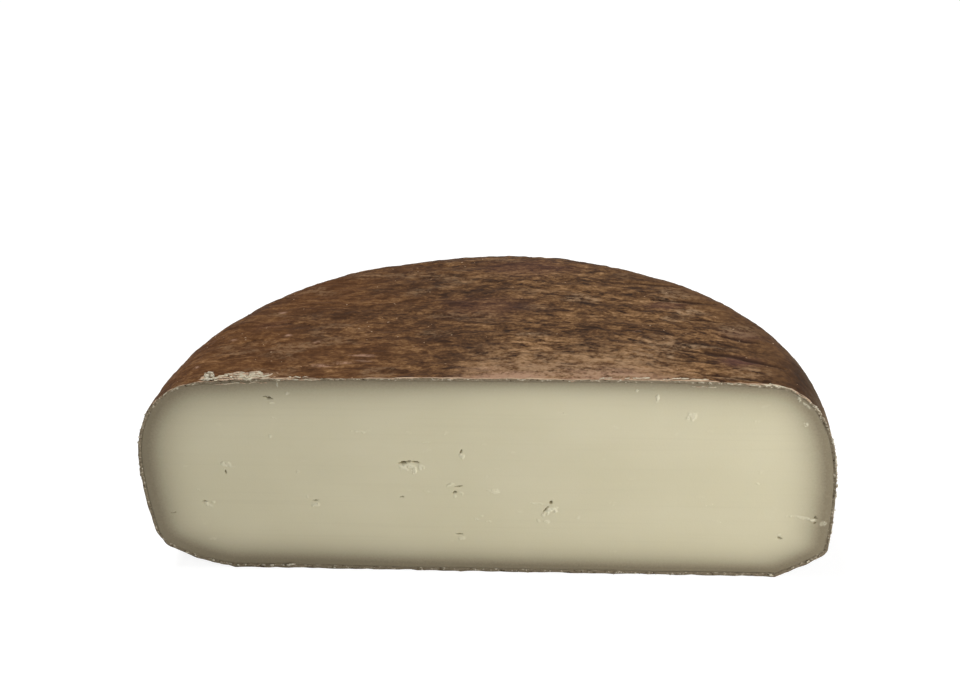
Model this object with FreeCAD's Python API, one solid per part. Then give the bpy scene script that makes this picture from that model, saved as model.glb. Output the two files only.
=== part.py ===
"""Half a wheel of tomme cheese, standing on its flat side, in millimetres.

The wheel is a low drum: a nearly flat top that falls a little towards the rim, a wide round shoulder,
a heel that bulges most at mid height, and a knuckle low down where the side turns in to a slanted foot.
The shoulder and the foot change slowly round the wheel, as a hand-turned cheese does. The knife passed
just in front of the wheel's axis, so that slightly more than half is left, and it opened small eyes.

Frame: +X along the cut, +Y from the cut towards the back, +Z up. The origin is the middle of the
footprint's box, on the surface that the cheese stands on.
"""

import math
import os

import FreeCAD
import Part

# The whole wheel.
WHEEL_RADIUS = 100.0        # at the widest level of the heel
WHEEL_HEIGHT = 65.0
CUT_PAST_AXIS = 2.0         # how far the cut lies in front of the wheel's axis
PLATEAU_RADIUS = 30.0       # the middle of the top is level

# The rim and the heel. Each pair holds the value at the right end and at the left end of the cut.
CROWN_DROP = (1.45, 1.4)         # fall of the top from the plateau to the shoulder
SHOULDER_REACH = (20.8, 25.0)    # how far in from the heel the shoulder starts
SHOULDER_POWER = 2.25            # 2 is an ellipse, more is squarer
WIDEST_LEVEL = (30.0, 33.8)      # height at which the heel bulges most
KNUCKLE_LEVEL = (8.5, 9.6)       # height at which the side turns in
KNUCKLE_INSET = (1.5, 2.3)       # how far the knuckle lies in from the widest level
KNUCKLE_ROUND = (1.6, 3.7)       # length that the rounding takes off each side of the knuckle
FOOT_REACH = (16.1, 24.8)        # how far in from the heel the flat base starts
FOOT_BELLY = (0.5, 1.7)          # how far the slanted foot bellies out from a straight line

# Slow waves round the wheel: (full waves in half a turn, height). They die out at both ends and at the back.
HEEL_WAVES = ((1, -1.3), (2, 1.0))
CROWN_WAVES = ((2, 0.4), (3, 0.3))

# Eyes that the knife opened: (place along half the cut from the axis, place up the height, length, gape,
# tilt in degrees). The two places are shares of the cut, and the sizes are of the opening.
EYES = (
    (-0.595, 0.883, 3.2, 1.0, -18.0),
    (-0.733, 0.548, 1.7, 1.3, 0.0),
    (-0.818, 0.348, 2.4, 1.1, 8.0),
    (-0.489, 0.372, 2.2, 0.9, -25.0),
    (-0.205, 0.558, 6.6, 2.6, -3.0),
    (-0.053, 0.622, 2.9, 1.5, 76.0),
    (-0.071, 0.431, 2.0, 1.6, 0.0),
    (-0.073, 0.191, 3.0, 0.8, 0.0),
    (0.188, 0.329, 2.8, 1.9, 60.0),
    (0.860, 0.214, 1.9, 1.2, -10.0),
)

# How finely the shape is drawn. These change no size.
STATIONS = 13               # profiles from one end of the cut, round the back, to the other
CROWN_STEPS = 4
SHOULDER_STEPS = 9
SIDE_STEPS = 3
FOOT_STEPS = 3
SAME_PLACE = 1e-6

WHEEL_DEPTH = WHEEL_RADIUS + CUT_PAST_AXIS
CUT_Y = -WHEEL_DEPTH / 2
AXIS_Y = CUT_Y + CUT_PAST_AXIS


def between(pair, turn):
    """The value of a right-and-left pair part way round: 0 is the right end of the cut and 1 the left."""
    right, left = pair
    return right + (left - right) * (1 - math.cos(math.pi * turn)) / 2


def waves(terms, turn):
    """The sum of the slow waves part way round."""
    fade = math.sin(2 * math.pi * turn) ** 2
    return fade * sum(height * math.sin(2 * math.pi * count * turn) for count, height in terms)


def heel_radius(turn):
    return WHEEL_RADIUS + waves(HEEL_WAVES, turn)


def knuckle_point(turn):
    """(radius, height) of the corner that the side and the foot would meet at if it weren't rounded."""
    return heel_radius(turn) - between(KNUCKLE_INSET, turn), between(KNUCKLE_LEVEL, turn)


def upper_points(turn):
    """(radius, height) points from the plateau over the crown and the shoulder and down the heel's side."""
    heel = heel_radius(turn)
    drop = between(CROWN_DROP, turn) + waves(CROWN_WAVES, turn)
    reach = between(SHOULDER_REACH, turn)
    roundness = 2 / SHOULDER_POWER
    widest = between(WIDEST_LEVEL, turn)
    knuckle = between(KNUCKLE_LEVEL, turn)
    shoulder = heel - reach
    rise = WHEEL_HEIGHT - drop - widest

    points = []
    for step in range(CROWN_STEPS):
        share = step / CROWN_STEPS
        points.append((PLATEAU_RADIUS + (shoulder - PLATEAU_RADIUS) * share, WHEEL_HEIGHT - drop * share**3))
    for step in range(SHOULDER_STEPS + 1):
        angle = math.pi / 2 * step / SHOULDER_STEPS
        points.append((
            shoulder + reach * math.sin(angle) ** roundness,
            widest + rise * math.cos(angle) ** roundness,
        ))
    side_end = knuckle + between(KNUCKLE_ROUND, turn)
    for step in range(1, SIDE_STEPS + 1):
        height = widest + (side_end - widest) * step / SIDE_STEPS
        sunk = (widest - height) / (widest - knuckle)
        points.append((heel - between(KNUCKLE_INSET, turn) * sunk**2, height))
    return points


def foot_points(turn):
    """(radius, height) points of the slanted foot, from just under the knuckle to the flat base."""
    top_radius, top_height = knuckle_point(turn)
    base_radius = heel_radius(turn) - between(FOOT_REACH, turn)
    run = top_radius - base_radius
    slant = math.hypot(run, top_height)
    start = between(KNUCKLE_ROUND, turn) / slant

    points = []
    for step in range(FOOT_STEPS + 1):
        share = start + (1 - start) * step / FOOT_STEPS
        swell = between(FOOT_BELLY, turn) * 4 * share * (1 - share)
        points.append((
            top_radius - run * share + top_height / slant * swell,
            top_height * (1 - share) - run / slant * swell,
        ))
    return points


def place(radius, height, turn):
    """A profile point set round the axis, so that the first and last profiles lie in the cut."""
    lean = math.asin(CUT_PAST_AXIS / radius)
    angle = -lean + (math.pi + 2 * lean) * turn
    y = CUT_Y if turn in (0.0, 1.0) else AXIS_Y + radius * math.sin(angle)
    return FreeCAD.Vector(radius * math.cos(angle), y, height)


def smooth_edge(profile, turn):
    """An edge through a profile's points. Its pace is the back's, so that all profiles share their knots."""
    back = profile(0.5)
    pace = [0.0]
    for start, end in zip(back, back[1:]):
        pace.append(pace[-1] + math.dist(start, end))
    curve = Part.BSplineCurve()
    curve.interpolate(
        Points=[place(*point, turn) for point in profile(turn)],
        Parameters=[length / pace[-1] for length in pace],
    )
    return curve.toShape()


def profile_wire(turn):
    """Crown, shoulder and side in one edge, the rounded knuckle, then the foot."""
    corners = (upper_points(turn)[-1], knuckle_point(turn), foot_points(turn)[0])
    knuckle = Part.BezierCurve()
    knuckle.setPoles([place(*corner, turn) for corner in corners])
    return Part.Wire([smooth_edge(upper_points, turn), knuckle.toShape(), smooth_edge(foot_points, turn)])


def rind_skin():
    """The whole outer skin but the level plateau and the base, lofted round the wheel."""
    wires = [profile_wire(station / (STATIONS - 1)) for station in range(STATIONS)]
    return Part.makeLoft(wires, False, False, False, 3)


def free_edges(skin):
    """The edges that only one face of the skin uses."""
    used = [edge for face in skin.Faces for edge in face.Edges]
    return [edge for edge in used if sum(edge.isSame(other) for other in used) == 1]


def edges_at(edges, axis, value):
    """Those of the edges that lie in the plane axis = value."""
    return [
        edge for edge in edges
        if all(abs(getattr(point, axis) - value) < SAME_PLACE for point in edge.discretize(5))
    ]


def chord(edges):
    """The straight line that closes a row of edges along the cut."""
    ends = [vertex.Point for edge in edges for vertex in edge.Vertexes]
    return Part.makeLine(min(ends, key=lambda p: p.x), max(ends, key=lambda p: p.x))


def flat_face(edges):
    """A plane face inside a closed row of edges."""
    return Part.Face(Part.Wire(Part.__sortEdges__(edges)))


def closed_body(skin):
    """Closes the skin with the plateau, the base and the flat cut."""
    rims = free_edges(skin)
    plateau = edges_at(rims, "z", WHEEL_HEIGHT)
    base = edges_at(rims, "z", 0.0)
    plateau_chord = chord(plateau)
    base_chord = chord(base)
    shell = Part.Shell(skin.Faces + [
        flat_face(plateau + [plateau_chord]),
        flat_face(base + [base_chord]),
        flat_face(edges_at(rims, "y", CUT_Y) + [plateau_chord, base_chord]),
    ])
    shell.sewShape()
    solid = Part.Solid(shell)
    if solid.Volume < 0:
        solid.reverse()
    return solid


def eye(along, up, length, gape, tilt):
    """A lens between two spheres, centred on the cut, so that half of it is an opening in the paste."""
    bulge = (length**2 + gape**2) / (4 * gape)
    offset = bulge - gape / 2
    lens = Part.makeSphere(bulge, FreeCAD.Vector(0, 0, -offset)).common(
        Part.makeSphere(bulge, FreeCAD.Vector(0, 0, offset)))
    lens.rotate(FreeCAD.Vector(), FreeCAD.Vector(0, -1, 0), tilt)
    lens.translate(FreeCAD.Vector(along * WHEEL_RADIUS, CUT_Y, up * WHEEL_HEIGHT))
    return lens


def half_wheel():
    body = closed_body(rind_skin())
    return body.cut([eye(*sizes) for sizes in EYES])


def main():
    os.makedirs("parts", exist_ok=True)
    cheese = half_wheel()
    box = cheese.BoundBox
    print("valid", cheese.isValid(), "solids", len(cheese.Solids), "faces", len(cheese.Faces))
    print("volume cm3", round(cheese.Volume / 1000, 2))
    print("box", [round(v, 3) for v in (box.XMin, box.XMax, box.YMin, box.YMax, box.ZMin, box.ZMax)])
    cheese.exportStep("parts/half_wheel.step")


main()
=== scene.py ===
# Half a wheel of tomme cheese: pale paste, cut straight across, inside a bark-like brown rind.
import math

import bmesh
import bpy
import numpy as np
from mathutils import Matrix, Vector


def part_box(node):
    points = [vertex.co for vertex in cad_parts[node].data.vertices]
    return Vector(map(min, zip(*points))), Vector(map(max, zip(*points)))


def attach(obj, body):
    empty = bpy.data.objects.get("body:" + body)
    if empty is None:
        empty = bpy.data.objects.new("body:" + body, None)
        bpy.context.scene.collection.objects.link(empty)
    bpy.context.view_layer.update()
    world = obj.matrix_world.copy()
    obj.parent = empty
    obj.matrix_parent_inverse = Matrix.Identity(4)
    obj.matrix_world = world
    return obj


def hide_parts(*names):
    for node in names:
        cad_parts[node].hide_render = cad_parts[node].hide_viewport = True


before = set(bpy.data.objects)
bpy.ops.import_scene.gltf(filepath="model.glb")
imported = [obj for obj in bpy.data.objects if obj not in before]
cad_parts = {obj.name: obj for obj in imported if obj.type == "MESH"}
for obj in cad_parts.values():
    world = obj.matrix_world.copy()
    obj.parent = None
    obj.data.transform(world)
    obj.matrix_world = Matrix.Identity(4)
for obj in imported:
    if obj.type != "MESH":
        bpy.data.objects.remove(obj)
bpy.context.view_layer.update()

low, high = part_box("half_wheel")
mm = 0.001      # shapes are worked out in millimetres and made in metres
print("frame loaded")

# The wheel's own sizes. Each pair holds the right end and the left end of the cut.
wheel = {
    "depth": (high.y - low.y) / mm,
    "height": (high.z - low.z) / mm,
    "cutPastAxis": 2.0,
    "plateauRadius": 30.0,
    "crownDrop": (1.45, 1.4),
    "shoulderReach": (20.8, 25.0),
    "shoulderPower": 2.25,
    "widestLevel": (30.0, 33.8),
    "knuckleLevel": (8.5, 9.6),
    "knuckleInset": (1.5, 2.3),
    "knuckleRound": (1.6, 3.7),
    "footReach": (16.1, 24.8),
    "footBelly": (0.5, 1.7),
    "heelWaves": ((1, -1.3), (2, 1.0)),
    "crownWaves": ((2, 0.4), (3, 0.3)),
}
wheel["radius"] = wheel["depth"] - wheel["cutPastAxis"]
cutY = low.y / mm
axisY = cutY + wheel["cutPastAxis"]


def between(name, turn):
    # a size part way round the wheel: turn 0 is the right end of the cut and 1 the left
    right, left = wheel[name]
    return right + (left - right) * (1 - np.cos(np.pi * turn)) / 2


def waves(name, turn):
    fade = np.sin(2 * np.pi * turn) ** 2
    return fade * sum(size * np.sin(2 * np.pi * count * turn) for count, size in wheel[name])


def heelRadius(turn):
    return wheel["radius"] + waves("heelWaves", turn)


def shoulderRadius(turn):
    return heelRadius(turn) - between("shoulderReach", turn)


def baseRadius(turn):
    return heelRadius(turn) - between("footReach", turn)


def crownHeight(radius, turn):
    plateau = wheel["plateauRadius"]
    share = np.clip((radius - plateau) / (shoulderRadius(turn) - plateau), 0, 1)
    return wheel["height"] - (between("crownDrop", turn) + waves("crownWaves", turn)) * share ** 3


def place(radius, height, turn):
    # sets profile points round the axis; the first and the last turn lie in the cut
    lean = np.arcsin(wheel["cutPastAxis"] / radius)
    angle = (np.pi + 2 * lean) * turn - lean
    y = np.where((turn == 0) | (turn == 1), cutY, axisY + radius * np.sin(angle))
    return np.stack([radius * np.cos(angle), y, height + 0 * radius], axis=-1)


def heelRows(turn, steps):
    # rows of (radius, height) from the shoulder's start, down the heel, to the base's edge
    heel, shoulder = heelRadius(turn), shoulderRadius(turn)
    widest, knuckle = between("widestLevel", turn), between("knuckleLevel", turn)
    rise = crownHeight(shoulder, turn) - widest
    roundness = 2 / wheel["shoulderPower"]
    inset, rounding = between("knuckleInset", turn), between("knuckleRound", turn)
    run = heel - inset - baseRadius(turn)
    slant = np.hypot(run, knuckle)

    def foot(share):
        swell = between("footBelly", turn) * 4 * share * (1 - share)
        return (
            heel - inset - run * share + knuckle / slant * swell,
            knuckle * (1 - share) - run / slant * swell,
        )

    rows = []
    for angle in np.linspace(0, math.pi / 2, steps["shoulder"] + 1):
        rows.append((
            shoulder + (heel - shoulder) * math.sin(angle) ** roundness,
            widest + rise * abs(math.cos(angle)) ** roundness,
        ))
    for share in np.linspace(0, 1, steps["side"] + 1)[1:]:
        height = widest + (knuckle + rounding - widest) * share
        rows.append((heel - inset * ((widest - height) / (widest - knuckle)) ** 2, height))
    sideEnd, footStart = rows[-1], foot(rounding / slant)
    for share in np.linspace(0, 1, steps["knuckle"] + 1)[1:]:
        rows.append(tuple(
            a * (1 - share) ** 2 + b * 2 * share * (1 - share) + c * share ** 2
            for a, b, c in zip(sideEnd, (heel - inset, knuckle), footStart)
        ))
    for share in np.linspace(0, 1, steps["foot"] + 1)[1:]:
        rows.append(foot(rounding / slant + (1 - rounding / slant) * share))
    return rows


def gridQuads(index):
    # the four corners of every cell in a grid of point numbers
    corners = index[:-1, :-1], index[:-1, 1:], index[1:, 1:], index[1:, :-1]
    return np.stack(corners, axis=-1).reshape(-1, 4)


def halfDisc(size):
    # a lattice over half a disc: each point's share of the radius and its turn, its rim and its flat edge
    i, j = np.meshgrid(np.arange(-size, size + 1), np.arange(size + 1))
    side = np.maximum(abs(i), 1)
    quarter = np.where(j > abs(i), 2 - i / np.maximum(j, 1), np.where(i < 0, 4 - j / side, j / side))
    index = np.arange(i.size).reshape(i.shape)
    rim = np.concatenate([index[:, -1], index[-1, -2::-1], index[-2::-1, 0]])
    share = np.maximum(abs(i), j) / size
    return share.ravel(), quarter.ravel() / 4, rim, gridQuads(index), index[0]


def joinRows(outer, inner):
    # triangles between two rows of points of different counts, kept level by their share of the way
    faces, a, b = [], 0, 0
    while a < len(outer) - 1 or b < len(inner) - 1:
        if (a + 1) * (len(inner) - 1) <= (b + 1) * (len(outer) - 1):
            faces.append([outer[a], inner[b], outer[a + 1]])
            a += 1
        else:
            faces.append([outer[a], inner[b], inner[b + 1]])
            b += 1
    return faces


def skinSheet(steps):
    # the whole outer skin, open at the cut: its points, its faces, and the loop of points along the cut
    centre = np.array([0, cutY, 0])
    share, turn, rim, quads, front = halfDisc(steps["top"])
    top = centre + share[:, None] * (place(shoulderRadius(turn), 0, turn) - centre)
    top[:, 2] = crownHeight(np.hypot(top[:, 0], top[:, 1] - axisY), turn)
    points, faces, loop = [top], quads.tolist(), [front]

    above, count, rimTurn = rim, len(top), turn[rim]
    rightEnd, leftEnd = [], []
    for radius, height in heelRows(rimTurn, steps)[1:]:
        row = np.arange(count, count + len(rim))
        points.append(place(radius, height, rimTurn))
        faces += np.stack([above[:-1], row[:-1], row[1:], above[1:]], axis=-1).tolist()
        rightEnd.append(row[0])
        leftEnd.append(row[-1])
        above, count = row, count + len(rim)

    share, turn, rim, quads, front = halfDisc(steps["base"])
    edge = place(baseRadius(turn) - steps["baseGap"], 0, turn)
    points.append(centre + share[:, None] * (edge - centre))
    faces += (quads[:, ::-1] + count).tolist()
    faces += joinRows(above.tolist(), (rim + count).tolist())
    loop += [np.array(rightEnd), front[::-1] + count, np.array(leftEnd[::-1])]
    return np.concatenate(points), faces, np.concatenate(loop)


def soft(x, start, end):
    # a smooth step from 0 at start to 1 at end
    share = np.clip((x - start) / (end - start), 0, 1)
    return share * share * (3 - 2 * share)


def hump(x, width):
    # 1 where x is 0, and next to nothing from twice the width on
    return np.exp(-(x / width) ** 2)


def grain(piece, name, points):
    # one of the smooth noises that a piece's dictionary lists, of about -1 to 1
    scale, seed, layers = piece["noises"][name]
    table = np.random.default_rng(piece["seed"] + seed)
    order, values = table.permutation(256), table.uniform(-1, 1, 256)
    total, weight, q = 0.0, 1.0, points / np.array(scale)
    for layer in range(layers):
        cell = np.floor(q).astype(int)
        part = q - cell
        fade = part * part * (3 - 2 * part)
        for corner in np.ndindex(2, 2, 2):
            c = (cell + corner) & 255
            pick = order[(order[(order[c[:, 0]] + c[:, 1]) & 255] + c[:, 2]) & 255]
            total = total + weight * values[pick] * np.where(corner, fade, 1 - fade).prod(axis=1)
        q, weight = q * 2.03 + 17.3, weight * 0.5
    return total


def addObject(name, data):
    made = bpy.data.objects.new(name, data)
    bpy.context.scene.collection.objects.link(made)
    return made


def makeMesh(name, points, faces, attributes, material):
    # a closed piece whose points are given in millimetres
    mesh = bpy.data.meshes.new(name)
    mesh.from_pydata((np.asarray(points) * mm).tolist(), [], faces)
    for label, values in attributes.items():
        kind, field = ("FLOAT", "value") if values.ndim == 1 else ("FLOAT_VECTOR", "vector")
        mesh.attributes.new(label, kind, "POINT").data.foreach_set(field, values.astype(np.float32).ravel())
    tidy = bmesh.new()
    tidy.from_mesh(mesh)
    bmesh.ops.recalc_face_normals(tidy, faces=tidy.faces)
    tidy.to_mesh(mesh)
    tidy.free()
    mesh.shade_smooth()
    mesh.materials.append(material)
    print(name, "made:", len(mesh.polygons), "faces")
    return addObject(name, mesh)


def sheetNormals(points, faces):
    mesh = bpy.data.meshes.new("sheet")
    mesh.from_pydata(points.tolist(), [], faces)
    normals = np.empty(len(points) * 3)
    mesh.vertices.foreach_get("normal", normals)
    bpy.data.meshes.remove(mesh)
    return normals.reshape(-1, 3)


class Signal:
    # a socket that can stand in a Python expression, which adds the Math nodes
    def __init__(self, maker, socket):
        self.maker, self.socket = maker, socket

    def calc(self, operation, *values):
        return self.maker.value("ShaderNodeMath", {"operation": operation}, dict(enumerate(values)))

    def __add__(self, other):
        return self.calc("ADD", self, other)

    def __sub__(self, other):
        return self.calc("SUBTRACT", self, other)

    def __rsub__(self, other):
        return self.calc("SUBTRACT", other, self)

    def __mul__(self, other):
        return self.calc("MULTIPLY", self, other)

    __radd__, __rmul__ = __add__, __mul__

    def step(self, start, end):
        # a smooth step from 0 at start to 1 at end
        return self.maker.value("ShaderNodeMapRange", {"interpolation_type": "SMOOTHSTEP"}, {
            "Value": self, "From Min": start, "From Max": end,
        })


class TreeMaker:
    def __init__(self, tree):
        self.tree = tree

    def add(self, kind, settings, sockets):
        # any node: its settings first, then the values or the links of its sockets
        made = self.tree.nodes.new(kind)
        for name, value in settings.items():
            if name == "stops":
                self.setStops(made.color_ramp.elements, value)
            else:
                setattr(made, name, value)
        for name, value in sockets.items():
            if isinstance(value, Signal):
                value = value.socket
            if isinstance(value, bpy.types.Node):
                value = value.outputs[0]        # a node stands for its first output
            if isinstance(value, bpy.types.NodeSocket):
                self.tree.links.new(value, made.inputs[name])
            else:
                made.inputs[name].default_value = value
        return made

    def setStops(self, elements, stops):
        for place, _ in stops[len(elements):]:
            elements.new(place)
        for element, (place, colour) in zip(elements, stops):
            element.position, element.color = place, screenColour(colour)

    def value(self, kind, settings, sockets, output=0):
        return Signal(self, self.add(kind, settings, sockets).outputs[output])


class MaterialMaker(TreeMaker):
    def __init__(self, name):
        self.material = bpy.data.materials.new(name)
        self.material.use_nodes = True
        super().__init__(self.material.node_tree)
        self.tree.nodes.clear()
        self.places = self.add("ShaderNodeTexCoord", {}, {}).outputs["Object"]

    def attribute(self, name, output="Fac"):
        return self.value("ShaderNodeAttribute", {"attribute_name": name}, {}, output)

    def attributes(self, *names):
        return [self.attribute(name) for name in names]

    def mottle(self, size, detail=2.0, stretch=(1, 1, 1), shift=0.0, rough=0.5, places=None):
        # noise of 0 to 1 whose cells are about size millimetres, drawn out by stretch
        mapped = self.add("ShaderNodeMapping", {}, {
            "Vector": places or self.places,
            "Scale": [1 / (size * mm * s) for s in stretch],
            "Location": (shift, shift * 0.7, -shift),
        })
        return self.value("ShaderNodeTexNoise", {}, {
            "Vector": mapped, "Scale": 1.0, "Detail": detail, "Roughness": rough,
        })

    def mottles(self, patterns, places=None):
        return [self.mottle(*values, places=places) for values in patterns.values()]

    def mix(self, factor, first, second):
        # colours are (red, green, blue) as they look on a screen
        made = self.add("ShaderNodeMix", {"data_type": "RGBA"}, {
            0: factor, 6: self.colour(first), 7: self.colour(second),
        })
        return made.outputs[2]

    def ramp(self, factor, *stops):
        # a colour for each level of the factor, blended between them
        return self.add("ShaderNodeValToRGB", {"stops": stops}, {"Fac": factor}).outputs[0]

    def colour(self, value):
        return value if isinstance(value, bpy.types.NodeSocket) else screenColour(value)

    def surface(self, colour, height, look, more=()):
        # a dull or glossy surface with its low relief, as a piece's dictionary gives them
        roughness, gloss, relief, depth = look
        bump = {"Strength": relief, "Distance": depth * mm, "Height": height}
        return self.finish(self.add("ShaderNodeBsdfPrincipled", {}, {
            "Base Color": colour, "Roughness": roughness, "Specular IOR Level": gloss,
            "Normal": self.add("ShaderNodeBump", {}, bump), **dict(more),
        }))

    def finish(self, shader):
        self.add("ShaderNodeOutputMaterial", {}, {"Surface": shader})
        return self.material


class GrowthMaker(TreeMaker):
    # a Geometry Nodes tree that grows small ragged bits on a piece's mesh; its lengths are in millimetres
    def __init__(self, name):
        super().__init__(bpy.data.node_groups.new(name, "GeometryNodeTree"))
        self.given = self.tree.nodes.new("NodeGroupInput")
        self.host, self.seed = self.input("host", "Geometry"), self.input("seed", "Int")

    def input(self, name, kind):
        self.tree.interface.new_socket(name, in_out="INPUT", socket_type="NodeSocket" + kind)
        return Signal(self, self.given.outputs[name])

    def attribute(self, name):
        return self.value("GeometryNodeInputNamedAttribute", {"data_type": "FLOAT"}, {"Name": name})

    def random(self, kind, least, most, extra=0):
        # a number or a vector for each point
        first, result = {"FLOAT": (2, 1), "FLOAT_VECTOR": (0, 0)}[kind]
        return self.value("FunctionNodeRandomValue", {"data_type": kind}, {
            first: least, first + 1: most, "Seed": self.seed + extra,
        }, result)

    def vector(self, operation, first, second):
        sockets = {0: first, "Scale" if operation == "SCALE" else 1: second}
        return self.value("ShaderNodeVectorMath", {"operation": operation}, sockets)

    def bits(self, points, facing, tilt, large, chosen):
        # a rounded bit on each chosen point, with a tone of its own, then made ragged and given its finish
        bit = self.add("GeometryNodeMeshUVSphere", {}, {
            "Segments": torn["sides"], "Rings": torn["rings"], "Radius": mm / 2,
        })
        spin = self.add("FunctionNodeEulerToRotation", {}, {
            "Euler": self.random("FLOAT_VECTOR", [-t for t in tilt], tilt, 1),
        })
        turned = self.add("FunctionNodeRotateRotation", {"rotation_space": "LOCAL"}, {
            "Rotation": facing, "Rotate By": spin,
        })
        smallest, largest = self.input("smallest", "Vector"), self.input("largest", "Vector")
        size = self.vector("SCALE", self.random("FLOAT_VECTOR", smallest, largest, 2), large)
        placed = self.add("GeometryNodeInstanceOnPoints", {}, {
            "Points": points, "Selection": chosen, "Instance": bit, "Rotation": turned, "Scale": size,
        })
        toned = self.add("GeometryNodeStoreNamedAttribute", {"domain": "INSTANCE"}, {
            "Geometry": placed, "Name": "tone", "Value": self.random("FLOAT", 0.0, 1.0, 3),
        })
        real = self.add("GeometryNodeRealizeInstances", {}, {"Geometry": toned})
        where = self.add("GeometryNodeInputPosition", {}, {})
        wobble = self.add("ShaderNodeTexNoise", {}, {
            "Vector": where, "Scale": torn["wobble"] / mm, "Detail": 1.0,
        })
        offset = self.vector("SUBTRACT", wobble.outputs["Color"], (0.5, 0.5, 0.5))
        offset = self.vector("MULTIPLY", offset, self.vector("SCALE", self.input("ragged", "Vector"), mm))
        moved = self.add("GeometryNodeSetPosition", {}, {"Geometry": real, "Offset": offset})
        made = self.add("GeometryNodeSetMaterial", {}, {
            "Geometry": moved, "Material": self.input("finish", "Material"),
        })
        self.tree.interface.new_socket("grown", in_out="OUTPUT", socket_type="NodeSocketGeometry")
        self.add("NodeGroupOutput", {}, {"grown": made})

    def grow(self, name, host, values):
        # runs the tree on a piece and keeps what grew as a piece of its own, a plain mesh
        modifier = host.modifiers.new("growth", "NODES")
        modifier.node_group = self.tree
        for item in self.tree.interface.items_tree:
            if item.name in values:
                modifier[item.identifier] = values[item.name]
        evaluated = host.evaluated_get(bpy.context.evaluated_depsgraph_get())
        mesh = bpy.data.meshes.new_from_object(evaluated)
        host.modifiers.remove(modifier)
        mesh.name = name
        mesh.shade_smooth()
        print(name, "made:", len(mesh.polygons), "faces")
        return addObject(name, mesh)


def screenColour(value):
    # screen values of 0 to 255 as the linear colour that a socket takes
    shares = [v / 255 for v in value]
    return [s / 12.92 if s <= 0.04045 else ((s + 0.055) / 1.055) ** 2.4 for s in shares] + [1.0]


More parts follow.
